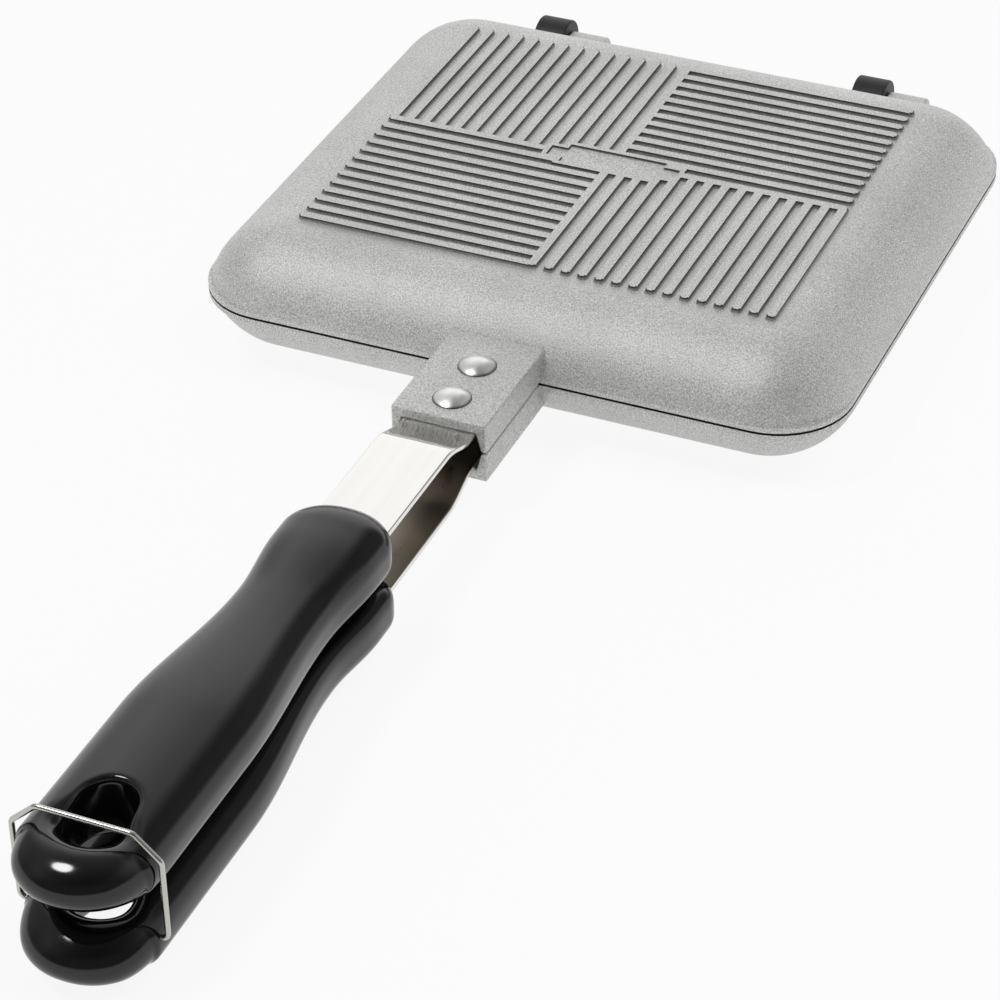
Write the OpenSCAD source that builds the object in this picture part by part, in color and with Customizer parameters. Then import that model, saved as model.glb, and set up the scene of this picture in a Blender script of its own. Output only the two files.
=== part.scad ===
// Hinged sandwich pie iron for a gas ring or a camp fire.
// Two cast pans close face to face along the parting plane. Each has a lug with a
// riveted strap and a moulded grip. A wire bail on the lower grip holds them shut.
// The origin is the middle of the lower pan's base. +Y points to the hinge,
// the grips point along -Y, and +Z is up. All sizes are in millimetres.

/* [Pans] */
// Width of the pans at the rim, across the handle
pan_w = 159.3; // [140:0.1:190]
// Depth of the pans at the rim, along the handle
pan_d = 143.4; // [130:0.1:180]
// Corner radius of the rim
pan_corner_r = 18.1; // [18:0.1:30]
// Height of one pan from the parting plane to its outer face
pan_h = 15.3; // [13:0.1:17]
// Floor thickness of the casting
pan_wall = 3; // [2:0.1:3.5]
// Height of the upright band at the rim
rim_band = 1.4; // [0.6:0.1:3]
// How much tighter the rim's corners are than the shoulder's
rim_ledge = 2.4; // [2:0.1:5]
// Level run of the rounded shoulder, from the rim to the flat
shoulder_run = 20; // [15:0.5:20]
// Width of the flat land where the pans meet
land_w = 5; // [3.5:0.5:6]
// Gap between the two lands
parting_gap = 0.4; // [0.2:0.1:0.8]

/* [Rib pattern] */
// Distance from rib to rib
rib_pitch = 4.15; // [3.6:0.05:4.4]
// Width of a rib
rib_w = 2.3; // [1.4:0.1:2.8]
// Height of a rib above the casting
rib_h = 1; // [0.5:0.1:1.6]
// Ribs beside the middle one, on each side
side_ribs = 14; // [6:1:14]
// Ribs before and behind the middle one
end_ribs = 12; // [6:1:12]
// Offset of the rib pattern towards the hinge
rib_shift = 1.1; // [0:0.1:2]
// Width of the bare plaque in the middle
plaque_w = 24.6; // [18:0.2:30]
// Depth of the bare plaque
plaque_d = 8.2; // [6:0.2:12]
// Width of the plaque over its two lower ears
ear_w = 32.8; // [31:0.2:40]
// Depth of the plaque's ears
ear_d = 4.2; // [2:0.2:5]
// Width of the raised border round the plaque
plaque_border = 1.4; // [0.8:0.1:2]
// Depth of the plaque below the tops of the ribs
plaque_sink = 0.5; // [0.2:0.1:0.5]
// Offset of the plaque towards the hinge
plaque_shift = 0.7; // [0:0.1:2]

/* [Lugs] */
// Width of the lug that carries the strap
lug_w = 22.8; // [21:0.2:30]
// Length of the lug in front of the rim
lug_l = 30.1; // [26:0.1:40]
// Height of the lug above the parting plane
lug_h = 7.4; // [6.6:0.1:8.6]
// Thickness of the lug over the strap
lug_roof = 2.6; // [1.8:0.1:2.8]
// Outward flare of the lug's mouth at the parting plane
mouth_flare = 1.2; // [0:0.1:1.4]

/* [Straps and rivets] */
// Width of the handle strap
strap_w = 17.4; // [14:0.2:18.4]
// Thickness of the handle strap
strap_t = 1.5; // [1.2:0.1:1.8]
// Clearance beside the strap in its lug and in its grip
strap_clear = 0.2; // [0.1:0.05:0.3]
// Height of the strap's outer face above the parting plane at the grip
strap_rise = 8.1; // [7.3:0.1:9]
// Length over which the strap bends outwards, in front of the lug
joggle_l = 13; // [10:0.5:18]
// Rivet shank diameter
rivet_d = 4; // [3:0.1:4.6]
// Rivet head diameter
rivet_head_d = 9; // [6.5:0.1:9.5]
// Height of the domed rivet head
rivet_head_h = 1.7; // [1:0.1:2.2]
// Distance between the two rivets
rivet_pitch = 13.8; // [11:0.1:15]
// Distance from the lug's mouth to the first rivet
rivet_first = 7.6; // [6:0.1:9.5]
// Height of the set end of a rivet inside the lug
rivet_tail_h = 1.2; // [0.8:0.1:1.6]

/* [Grips] */
// Distance from the lug's mouth to the nose of the grip
bare_strap_l = 42.5; // [30:0.5:60]
// Length of a grip
grip_l = 129.7; // [110:0.1:160]
// Gap between the two flat mating faces
grip_gap = 3.2; // [2:0.1:4]
// Half width of the grip at the body
body_half_w = 14.6; // [13:0.1:17]
// Half width at the bulge behind the nose
bulge_half_w = 12.4; // [10.5:0.1:15]
// Half width at the waist
waist_half_w = 10.8; // [10.2:0.1:13]
// Height of the body, from the mating face outwards
body_h = 14.4; // [13:0.1:16]
// Height of the bulge behind the nose
bulge_h = 13.2; // [12:0.1:15]
// Height of the waist
waist_h = 12.4; // [11.5:0.1:14]
// Length of the rounded nose
nose_l = 10; // [6:0.5:14]
// Distance from the nose to the middle of the bulge
bulge_at = 14; // [12:0.5:18]
// Distance from the nose to the waist
waist_at = 34; // [28:0.5:44]
// Distance from the nose to the full body
body_at = 78; // [56:0.5:80]
// Length over which the ring end rounds down
ring_round_l = 13; // [10:0.5:14]
// Length of the hang hole along the grip
hole_l = 16; // [12:0.5:20]
// Width of the hang hole
hole_w = 12; // [9:0.5:13]
// Material between the hang hole and the end of the grip
ring_bar = 12.4; // [10:0.1:14]
// Rounding radius of the hang hole's lips
hole_lip_r = 1.4; // [0.8:0.1:1.8]
// Depth of the step where the wire crosses the grip
wire_step = 0.5; // [0.2:0.1:0.8]

/* [Tangs and grip screws] */
// Length of full-width strap inside the grip
shoulder_in = 12; // [6:0.5:14]
// Width of the tang inside the grip
tang_w = 12; // [9:0.5:13]
// Length of the strap inside the grip
tang_l = 46; // [38:0.5:52]
// Screw shank diameter
screw_d = 3.2; // [2.5:0.1:4]
// Screw head diameter
screw_head_d = 6.4; // [5:0.1:7]
// Height of the screw head
screw_head_h = 1.8; // [1.4:0.1:2.2]
// Depth of the screw head below the mating face
screw_sink = 0.5; // [0.2:0.1:1]
// Length of the screw from under its head
screw_l = 8.4; // [6.5:0.1:8.6]
// Distance from the nose to the first screw
screw_first = 22; // [18:0.5:26]
// Distance between the two screws
screw_pitch = 15; // [10:0.5:18]

/* [Hinge] */
// Height of the hinge axis above the parting plane
hinge_rise = 0; // [-1:0.1:1]
// Outer radius of the hinge eyes on the lower pan
eye_r = 6.2; // [5:0.1:8]
// Width of a hinge eye
eye_w = 8.4; // [6:0.1:12]
// Gap between the eye and the rim of the upper pan
eye_gap = 2.1; // [0.5:0.1:3]
// Radius of the hinge tabs on the upper pan
tab_r = 3.4; // [3:0.1:4.2]
// Width of a hinge tab
tab_w = 10; // [6:0.1:12]
// Gap between an eye and its tab
tab_gap = 0.3; // [0.2:0.05:0.6]
// Distance from the middle plane to the joint between eye and tab
hinge_offset = 43.7; // [36:0.1:48]
// Hinge pin diameter
pin_d = 3.6; // [3:0.1:4]
// Radial running clearance of pins and pivots in their bores
run_clear = 0.06; // [0.03:0.01:0.09]

/* [Wire bail] */
// Diameter of the spring wire
wire_d = 1.2; // [0.9:0.1:1.6]
// Distance from the end of the grip to the bail's pivots
pivot_inset = 14; // [13:0.1:16]
// Distance from the lower grip's mating face to the bail's pivots
pivot_depth = 5.2; // [4.5:0.1:7]
// Gap between the wire's legs and the grips
leg_gap = 0.6; // [0.4:0.1:1.2]
// Gap between the top bar and the upper grip
bar_gap = 0.7; // [0.5:0.1:1.8]
// Half length of the straight top bar
bar_half = 10.2; // [7:0.1:11]
// Height of the slanted shoulders of the bail
slant_h = 5.2; // [4:0.1:7]
// Bend radius of the wire
wire_bend_r = 1.6; // [1:0.1:2]
// Length of wire inside each pivot bore
foot_in = 4; // [3:0.1:5]

/* [Hidden] */

fine = 64;
parting_z = pan_h + rib_h;
land_z = parting_gap / 2;
overlap = 0.5;

// Lug and strap
rim_front = -pan_d / 2;
mouth_y = rim_front - lug_l;
slot_half_w = strap_w / 2 + strap_clear;
slot_back_y = mouth_y + rivet_first + rivet_pitch + rivet_head_d / 2 + 2;
strap_back_y = slot_back_y - 1;
bend_start = 1;
lug_root = 6;
strap_in_z = lug_h - lug_roof;
nose_y = mouth_y - bare_strap_l;
tang_end_y = nose_y - tang_l;
shoulder_y = nose_y - shoulder_in;
rivet_ys = [mouth_y + rivet_first, mouth_y + rivet_first + rivet_pitch];
rivet_tail_d = rivet_d + 2.6;

// Grips
grip_z0 = grip_gap / 2;
end_y = nose_y - grip_l;
ring_at = grip_l - pivot_inset + 1.2;
hole_y = end_y + ring_bar + hole_l / 2;
screw_ys = [nose_y - screw_first, nose_y - screw_first - screw_pitch];
head_z = grip_z0 + screw_sink;
tang_clear_d = screw_d + 0.4;

// Hinge
hinge_y = pan_d / 2 + eye_gap + eye_r;
bore_r = pin_d / 2 + run_clear;
tab_t = hinge_rise + tab_r - land_z;
arm_t = eye_r - hinge_rise - land_z;
pin_in_tab = tab_w - 1;

// Bail
pivot_y = end_y + pivot_inset;
pivot_z = -(grip_z0 + pivot_depth);
leg_x = body_half_w + leg_gap + wire_d / 2;
bar_z = grip_z0 + body_h + bar_gap + wire_d / 2;

// Cosine blend from 0 to 1 as t goes from 0 to 1
function blend(t) = t <= 0 ? 0 : t >= 1 ? 1 : (1 - cos(180 * t)) / 2;
// Value that eases from a to b between stations s0 and s1
function ease(a, b, s, s0, s1) = a + (b - a) * blend((s - s0) / (s1 - s0));

// ---- Castings ----------------------------------------------------------------

// Radius of the arc that is level at the top and ends at the band, run further out
function shoulder_radius(height, run, band) =
    (run * run + (height - band) * (height - band)) / (2 * (height - band));

// Side view of a half shell: flat top, two round shoulders, closed below by z = 0
module shell_profile(width, height, run, band) {
    arc_r = shoulder_radius(height, run, band);
    intersection() {
        translate([-width / 2, 0]) square([width, height]);
        union() {
            translate([-width / 2 + run, 0]) square([width - 2 * run, height]);
            translate([-width / 2, 0]) square([width, band]);
            for (side = [-1, 1])
                translate([side * (width / 2 - run), height - arc_r])
                    circle(arc_r, $fn = fine);
        }
    }
}

// One corner of the shell's side view, from the corner's centre to the rim
module corner_profile(reach, height, run, band) {
    arc_r = shoulder_radius(height, run, band);
    intersection() {
        square([reach, height]);
        union() {
            square([reach - run, height]);
            square([reach, band]);
            translate([reach - run, height - arc_r]) circle(arc_r, $fn = fine);
        }
    }
}

// Pillow-shaped shell with round corners, standing on z = 0
module pillow(width, depth, corner_r, height, run, band) {
    rotate([90, 0, 90])
        linear_extrude(width - 2 * corner_r, center = true)
            shell_profile(depth, height, run, band);
    rotate([90, 0, 0])
        linear_extrude(depth - 2 * corner_r, center = true)
            shell_profile(width, height, run, band);
    for (side_x = [-1, 1], side_y = [-1, 1])
        translate([side_x * (width / 2 - corner_r), side_y * (depth / 2 - corner_r), 0])
            rotate_extrude($fn = fine)
                corner_profile(corner_r, height, run, band);
}

// Rectangle with round corners
module round_rect(width, depth, corner_r) {
    square([width - 2 * corner_r, depth], center = true);
    square([width, depth - 2 * corner_r], center = true);
    for (side_x = [-1, 1], side_y = [-1, 1])
        translate([side_x * (width / 2 - corner_r), side_y * (depth / 2 - corner_r)])
            circle(corner_r, $fn = fine);
}

// One straight rib from a to b along X, with a round free end at b
module rib_x(a, b) {
    low = min(a, b);
    translate([low, -rib_w / 2]) square([abs(b - a), rib_w]);
    translate([b, 0]) circle(rib_w / 2, $fn = 24);
}

// Plan of the pattern: a cross, and four fields whose ribs turn from field to field
module rib_plan() {
    reach_x = side_ribs * rib_pitch;
    reach_y = end_ribs * rib_pitch;
    rib_x(0, reach_x);
    rib_x(0, -reach_x);
    rotate(90) rib_x(0, reach_y);
    rotate(90) rib_x(0, -reach_y);
    for (k = [1 : side_ribs]) {
        translate([-k * rib_pitch, 0]) rotate(90) rib_x(0, reach_y);
        translate([k * rib_pitch, 0]) rotate(90) rib_x(0, -reach_y);
    }
    for (k = [1 : end_ribs]) {
        translate([0, k * rib_pitch]) rib_x(0, reach_x);
        translate([0, -k * rib_pitch]) rib_x(0, -reach_x);
    }
}

// Plan of the plaque with a border round it
module plaque_plan(border) {
    translate([0, plaque_shift]) {
        square([plaque_w + 2 * border, plaque_d + 2 * border], center = true);
        square([ear_w + 2 * border, ear_d + 2 * border], center = true);
    }
}

// Channel for the strap under the lug's roof, flared at the parting plane
module lug_channel() {
    channel_l = slot_back_y - mouth_y;
    translate([-slot_half_w, mouth_y - overlap, land_z - overlap])
        cube([2 * slot_half_w, channel_l + overlap, strap_in_z - land_z + overlap]);
    translate([0, mouth_y + channel_l, 0])
        rotate([90, 0, 0])
            linear_extrude(channel_l + overlap)
                polygon([[-slot_half_w - mouth_flare, land_z - overlap],
                         [slot_half_w + mouth_flare, land_z - overlap],
                         [slot_half_w + mouth_flare, land_z],
                         [slot_half_w, strap_in_z],
                         [-slot_half_w, strap_in_z],
                         [-slot_half_w - mouth_flare, land_z]]);
}

// One casting above the parting plane, without its hinge parts
module pan_casting() {
    shell_h = pan_h - land_z;
    dome_r = pan_corner_r + rim_ledge;
    difference() {
        union() {
            translate([0, 0, land_z]) {
                pillow(pan_w, pan_d, dome_r, shell_h, shoulder_run, rim_band);
                linear_extrude(rim_band) round_rect(pan_w, pan_d, pan_corner_r);
            }
            translate([-lug_w / 2, mouth_y, land_z])
                cube([lug_w, lug_l + lug_root, lug_h - land_z]);
            translate([0, 0, pan_h - overlap])
                linear_extrude(rib_h + overlap) {
                    translate([0, rib_shift]) rib_plan();
                    plaque_plan(plaque_border);
                }
        }
        translate([0, 0, pan_h + rib_h - plaque_sink])
            linear_extrude(plaque_sink + overlap) plaque_plan(0);
        translate([0, 0, land_z - overlap])
            pillow(pan_w - 2 * land_w, pan_d - 2 * land_w, dome_r - land_w,
                   shell_h - pan_wall + overlap, shoulder_run - land_w, overlap);
        lug_channel();
        for (y = rivet_ys)
            translate([0, y, 0])
                cylinder(h = lug_h + overlap, d = rivet_d, $fn = fine);
    }
}

// Turns a piece made above the parting plane into its lower twin
module lower() {
    mirror([0, 0, 1]) children();
}

// Cylinder along X that starts at x
module along_x(x, length, radius) {
    translate([x, hinge_y, hinge_rise])
        rotate([0, 90, 0])
            cylinder(h = length, r = radius, $fn = fine);
}

module lower_plate() {
    color("#b4b4b0")
        translate([0, 0, parting_z])
            difference() {
                union() {
                    lower() pan_casting();
                    for (x = [-hinge_offset - tab_gap / 2 - eye_w, hinge_offset - tab_gap / 2 - eye_w]) {
                        along_x(x, eye_w, eye_r);
                        translate([x, pan_d / 2 - rim_band, -land_z - arm_t])
                            cube([eye_w, hinge_y - pan_d / 2 + rim_band, arm_t]);
                    }
                }
                for (x = [-hinge_offset, hinge_offset])
                    along_x(x - tab_gap / 2 - eye_w - overlap, eye_w + 2 * overlap, bore_r);
            }
}

module upper_plate() {
    color("#bcbcb8")
        translate([0, 0, parting_z])
            difference() {
                union() {
                    pan_casting();
                    for (x = [-hinge_offset + tab_gap / 2, hinge_offset + tab_gap / 2]) {
                        along_x(x, tab_w, tab_r);
                        translate([x, pan_d / 2 - rim_band, land_z])
                            cube([tab_w, hinge_y - pan_d / 2 + rim_band, tab_t]);
                    }
                }
                for (x = [-hinge_offset, hinge_offset])
                    along_x(x, pin_in_tab, pin_d / 2);
            }
}

// Steel pin: pressed into the tab, running in the eye to its left
module hinge_pin(x) {
    color("#9a9a9a")
        translate([x, hinge_y, parting_z + hinge_rise])
            rotate([0, 90, 0])
                translate([0, 0, -eye_w])
                    cylinder(h = eye_w + pin_in_tab, d = pin_d, $fn = fine);
}

module left_hinge_pin() {
    hinge_pin(-hinge_offset);
}

module right_hinge_pin() {
    hinge_pin(hinge_offset);
}

// ---- Straps and rivets -------------------------------------------------------

// Height of the strap's outer face at y: under the lug's roof, then at the grip
function strap_top(y) =
    ease(strap_in_z, strap_rise, mouth_y - y, bend_start, bend_start + joggle_l);

// Side view of the strap with extra thickness around it
module strap_profile(y_front, y_back, extra) {
    steps = 18;
    bend_ys = [for (k = [0 : steps]) mouth_y - bend_start - joggle_l * k / steps];
    ys = concat([y_back], [for (y = bend_ys) if (y < y_back && y > y_front) y], [y_front]);
    last = len(ys) - 1;
    polygon(concat(
        [for (k = [0 : last]) [ys[k], strap_top(ys[k]) + extra]],
        [for (k = [0 : last]) [ys[last - k], strap_top(ys[last - k]) - strap_t - extra]]));
}

// Strap body, extruded across its width
module strap_band(width, y_front, y_back, extra) {
    rotate([90, 0, 90])
        linear_extrude(width, center = true)
            strap_profile(y_front, y_back, extra);
}

module strap() {
    difference() {
        union() {
            strap_band(strap_w, shoulder_y, strap_back_y, 0);
            strap_band(tang_w, tang_end_y, shoulder_y + overlap, 0);
        }
        for (y = rivet_ys)
            translate([0, y, 0]) cylinder(h = lug_h, d = rivet_d, $fn = fine);
        for (y = screw_ys)
            translate([0, y, 0]) cylinder(h = body_h, d = tang_clear_d, $fn = fine);
    }
}

module lower_strap() {
    color("#d8d8d8") translate([0, 0, parting_z]) lower() strap();
}

module upper_strap() {
    color("#d8d8d8") translate([0, 0, parting_z]) strap();
}

// Domed rivet standing on the lug's roof, set under the strap
module rivet() {
    dome_r = (rivet_head_d * rivet_head_d / 4 + rivet_head_h * rivet_head_h) / (2 * rivet_head_h);
    tail_z = strap_in_z - strap_t;
    intersection() {
        translate([0, 0, lug_h + rivet_head_h - dome_r]) sphere(dome_r, $fn = fine);
        translate([0, 0, lug_h]) cylinder(h = rivet_head_h + 1, d = rivet_head_d + 1, $fn = fine);
    }
    translate([0, 0, tail_z]) cylinder(h = lug_h - tail_z, d = rivet_d, $fn = fine);
    translate([0, 0, tail_z - rivet_tail_h]) cylinder(h = rivet_tail_h, d = rivet_tail_d, $fn = fine);
}

module rivet_pair() {
    for (y = rivet_ys)
        translate([0, y, 0]) rivet();
}

module lower_rivets() {
    color("#e4e4e2") translate([0, 0, parting_z]) lower() rivet_pair();
}

module upper_rivets() {
    color("#e4e4e2") translate([0, 0, parting_z]) rivet_pair();
}

// ---- Grips -------------------------------------------------------------------

// Share of the full section left at station s by the round nose and the round end
function nose_share(s) = s >= nose_l ? 1 : sqrt(max(0, 1 - pow(1 - s / nose_l, 2)));
function end_share(s, round_l) =
    s <= grip_l - round_l ? 1 : sqrt(max(0, 1 - pow((s - grip_l + round_l) / round_l, 2)));

// Half width and height of the grip at distance s from the nose
function plain_half_w(s) = s < waist_at
    ? ease(bulge_half_w, waist_half_w, s, bulge_at, waist_at)
    : ease(waist_half_w, body_half_w, s, waist_at, body_at);
function plain_h(s) = s < waist_at
    ? ease(bulge_h, waist_h, s, bulge_at, waist_at)
    : ease(waist_h, body_h, s, waist_at, body_at);
function step_at(s) = wire_step * blend((s - ring_at) / 2);
function half_w(s) = (plain_half_w(s) - step_at(s)) * nose_share(s) * end_share(s, body_half_w);
function half_h(s) = (plain_h(s) - step_at(s)) / 2 * nose_share(s) * end_share(s, ring_round_l);
function mid_z(s) = grip_z0 + (plain_h(s) - step_at(s)) / 2;

// Section of the grip: flat on the mating side, round outside
section_points = 36;
flat_power = 3.4;
round_power = 2.25;
function bent(v, power) = sign(v) * pow(abs(v), 2 / power);
function section_point(s, turn) =
    let (power = sin(turn) < 0 ? flat_power : round_power)
    [half_w(s) * bent(cos(turn), power),
     nose_y - s,
     mid_z(s) + half_h(s) * bent(sin(turn), power)];

// Stations along the grip, close together where it rounds off
nose_steps = 7;
body_steps = 13;
end_steps = 9;
stations = concat(
    [for (k = [0 : nose_steps]) nose_l * (1 - cos(90 * (k + 0.35) / (nose_steps + 0.35)))],
    [for (k = [1 : body_steps]) nose_l + (ring_at - nose_l) * k / body_steps],
    [ring_at + 1, ring_at + 2],
    [for (k = [1 : end_steps])
        ring_at + 2 + (grip_l - ring_at - 2) * sin(90 * k / (end_steps + 0.35))]);

// Solid grip without its bores
module grip_body() {
    rings = len(stations);
    count = section_points;
    points = [for (s = stations, k = [0 : count - 1]) section_point(s, 360 * k / count)];
    sides = [for (r = [0 : rings - 2], k = [0 : count - 1], half = [0, 1])
        let (a = r * count + k, b = r * count + (k + 1) % count)
        half == 0 ? [a, a + count, b] : [b, a + count, b + count]];
    front = [for (k = [0 : count - 1]) k];
    back = [for (k = [0 : count - 1]) (rings - 1) * count + count - 1 - k];
    polyhedron(points = points, faces = concat(sides, [front, back]), convexity = 4);
}

// Hang hole with rounded lips at both mouths
module hang_hole() {
    straight = hole_l - hole_w;
    top = grip_z0 + body_h - wire_step;
    translate([0, hole_y, 0]) {
        translate([0, 0, grip_z0 - overlap])
            linear_extrude(body_h + 2 * overlap) {
                square([hole_w, straight], center = true);
                for (side = [-1, 1])
                    translate([0, side * straight / 2]) circle(d = hole_w, $fn = fine);
            }
        for (mouth = [[grip_z0, 1], [top, -1]])
            translate([0, 0, mouth[0]])
                mirror([0, 0, mouth[1] > 0 ? 0 : 1])
                    hole_lip(straight);
    }
}

// Cutter that rounds the lip of the hang hole, from z = 0 upwards
module hole_lip(straight) {
    for (side = [-1, 1])
        translate([0, side * straight / 2, 0])
            rotate_extrude($fn = fine)
                lip_profile(hole_w / 2);
    rotate([90, 0, 0])
        linear_extrude(straight, center = true) {
            lip_profile(hole_w / 2);
            mirror([1, 0]) lip_profile(hole_w / 2);
        }
}

// Half section of the lip cutter: quarter-round outside, square inside
module lip_profile(reach) {
    difference() {
        translate([0, -overlap]) square([reach + hole_lip_r, hole_lip_r + overlap]);
        translate([reach + hole_lip_r, hole_lip_r]) circle(hole_lip_r, $fn = fine);
        translate([reach + hole_lip_r - overlap / 5, hole_lip_r / 2]) square([1, hole_lip_r]);
    }
}

// Pocket for the strap and its tang, and the screws' bores
module grip_bores() {
    pocket_y = shoulder_y - strap_clear;
    strap_band(strap_w + 2 * strap_clear, pocket_y, nose_y + overlap, strap_clear / 2);
    strap_band(tang_w + 2 * strap_clear, tang_end_y - strap_clear, pocket_y + overlap,
               strap_clear / 2);
    for (y = screw_ys)
        translate([0, y, 0]) {
            cylinder(h = head_z + screw_head_h, d = screw_head_d + 2 * strap_clear, $fn = fine);
            cylinder(h = head_z + screw_head_h + screw_l, d = screw_d, $fn = fine);
        }
}

module grip() {
    difference() {
        grip_body();
        hang_hole();
        grip_bores();
    }
}

module lower_grip() {
    color("#1c1c1e")
        translate([0, 0, parting_z])
            difference() {
                lower() grip();
                for (side = [-1, 1])
                    translate([side * (leg_x - foot_in - wire_bend_r), pivot_y, pivot_z])
                        rotate([0, side * 90, 0])
                            cylinder(h = foot_in + wire_bend_r, r = wire_d / 2 + run_clear, $fn = 32);
            }
}

module upper_grip() {
    color("#1c1c1e") translate([0, 0, parting_z]) grip();
}

// Pan-head screw that goes up from the mating face through the tang
module grip_screw() {
    slot = 0.9;
    difference() {
        cylinder(h = screw_head_h, d = screw_head_d, $fn = fine);
        for (turn = [0, 90])
            rotate(turn)
                translate([-screw_head_d / 3, -slot / 2, -overlap])
                    cube([screw_head_d / 1.5, slot, slot + overlap]);
    }
    translate([0, 0, screw_head_h]) cylinder(h = screw_l - screw_d / 2, d = screw_d, $fn = fine);
    translate([0, 0, screw_head_h + screw_l - screw_d / 2])
        cylinder(h = screw_d / 2, d1 = screw_d, d2 = 0.4, $fn = fine);
}

module grip_screw_pair() {
    for (y = screw_ys)
        translate([0, y, head_z]) grip_screw();
}

module lower_grip_screws() {
    color("#8f8f8f") translate([0, 0, parting_z]) lower() grip_screw_pair();
}

module upper_grip_screws() {
    color("#8f8f8f") translate([0, 0, parting_z]) grip_screw_pair();
}

// ---- Wire bail ---------------------------------------------------------------

// Corner points of the right half of the wire, from the foot to the top bar, as [x, z]
bail_points = [[leg_x - foot_in - wire_bend_r, pivot_z],
               [leg_x, pivot_z],
               [leg_x, bar_z - slant_h],
               [bar_half, bar_z],
               [0, bar_z]];

function unit(v) = v / norm(v);
function left_of(v) = [-v[1], v[0]];

// Points of the bend at corner k, which always turns left on the way to the top bar
bend_steps = 6;
function bend_points(k) =
    let (into = unit(bail_points[k] - bail_points[k - 1]),
         out = unit(bail_points[k + 1] - bail_points[k]),
         turn = acos(into * out),
         start = bail_points[k] - into * wire_bend_r * tan(turn / 2),
         centre = start + left_of(into) * wire_bend_r)
    [for (step = [0 : bend_steps])
        let (a = turn * step / bend_steps)
        centre + wire_bend_r * (into * sin(a) - left_of(into) * cos(a))];

// Middle line of the whole wire, from foot to foot
half_path = concat([bail_points[0]], bend_points(1), bend_points(2), bend_points(3));
half_count = len(half_path);
bail_path = concat(half_path,
    [for (k = [1 : half_count]) [-half_path[half_count - k][0], half_path[half_count - k][1]]]);

// Round wire swept along a path in the XZ plane
module swept_wire(path, sides) {
    last = len(path) - 1;
    points = [for (i = [0 : last], k = [0 : sides - 1])
        let (across = left_of(unit(path[min(i + 1, last)] - path[max(i - 1, 0)])),
             a = 360 * k / sides)
        [path[i][0] + wire_d / 2 * cos(a) * across[0],
         wire_d / 2 * sin(a),
         path[i][1] + wire_d / 2 * cos(a) * across[1]]];
    walls = [for (i = [0 : last - 1], k = [0 : sides - 1], half = [0, 1])
        let (a = i * sides + k, b = i * sides + (k + 1) % sides)
        half == 0 ? [a, b, a + sides] : [b, b + sides, a + sides]];
    foot_end = [for (k = [0 : sides - 1]) sides - 1 - k];
    far_end = [for (k = [0 : sides - 1]) last * sides + k];
    polyhedron(points = points, faces = concat(walls, [foot_end, far_end]), convexity = 6);
}

module wire_bail() {
    color("#c6c6c4")
        translate([0, pivot_y, parting_z])
            swept_wire(bail_path, 12);
}

lower_plate();
upper_plate();
left_hinge_pin();
right_hinge_pin();
lower_strap();
upper_strap();
lower_rivets();
upper_rivets();
lower_grip();
upper_grip();
lower_grip_screws();
upper_grip_screws();
wire_bail();
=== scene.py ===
"""Looks of a hinged sandwich pie iron: two ribbed cast pans on riveted straps with black grips.

Sizes are in millimetres until a mesh is made, then in metres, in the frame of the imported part:
x across the pans, y towards the hinge, z up, with the base of the lower pan at zero.
Each half is made above the parting plane, at z = 0, and the lower one is its mirror image.
"""

import bmesh
import bpy
import numpy as np
from mathutils import Matrix


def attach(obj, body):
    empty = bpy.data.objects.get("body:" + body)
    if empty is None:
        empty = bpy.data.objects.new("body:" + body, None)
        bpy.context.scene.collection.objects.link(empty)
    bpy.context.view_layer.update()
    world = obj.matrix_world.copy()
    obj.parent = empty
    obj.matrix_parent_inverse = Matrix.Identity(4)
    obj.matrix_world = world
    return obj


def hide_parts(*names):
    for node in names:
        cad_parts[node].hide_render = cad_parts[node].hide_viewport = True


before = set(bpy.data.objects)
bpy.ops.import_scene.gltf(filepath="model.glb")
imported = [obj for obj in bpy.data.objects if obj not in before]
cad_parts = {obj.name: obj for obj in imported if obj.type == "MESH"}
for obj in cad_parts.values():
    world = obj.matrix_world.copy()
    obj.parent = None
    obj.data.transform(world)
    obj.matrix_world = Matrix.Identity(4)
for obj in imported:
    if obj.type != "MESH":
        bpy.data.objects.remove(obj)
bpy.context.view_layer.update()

MM = 0.001
PARTING = 16.3

# Camera: its place and turn in the photograph, and its lens, whose focal length was found in
# pixels of a picture IMAGE_W wide
CAMERA_PLACE = (0.26963, -0.67465, 0.45411)
CAMERA_RIGHT = (0.917567, 0.397320, -0.014386)
CAMERA_DOWN = (0.220670, -0.539045, -0.812856)
CAMERA_AHEAD = (-0.330719, 0.742676, -0.582287)
SENSOR, IMAGE_W, FOCAL_PIXELS = 36.0, 1000, 3491.83

# Pans: size over the rims and height of a half, the rim's corner, ledge and flat band, the run of
# the shoulder's arc, the land, the wall, and how far the land stays off the parting plane
PAN_W, PAN_D, PAN_H = 159.3, 143.4, 15.3
RIM_CORNER, LEDGE, BAND = 18.1, 2.4, 1.4
RUN, LAND, WALL, LAND_Z = 20.0, 5.0, 3.0, 0.2
DOME = RIM_CORNER + LEDGE
CORNER_X, CORNER_Y = PAN_W / 2 - DOME, PAN_D / 2 - DOME

# Ribs and plaque: a rib's edge is a soft step SOFT to each side of its line
PITCH, RIB_W, RIB_H, RIB_SHIFT = 4.15, 2.3, 1.0, 1.1
SIDE_RIBS, END_RIBS = 14, 12
PLAQUE_W, PLAQUE_D, EAR_W, EAR_D = 24.6, 8.2, 32.8, 4.2
BORDER, SINK, PLAQUE_SHIFT = 1.4, 0.5, 0.7
SOFT = 0.1

# Lattice of the flat: lines nearer than GAP to one another or MARGIN to its edge are left out
LATTICE_MARGIN, LATTICE_GAP = 0.1, 0.07

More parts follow.
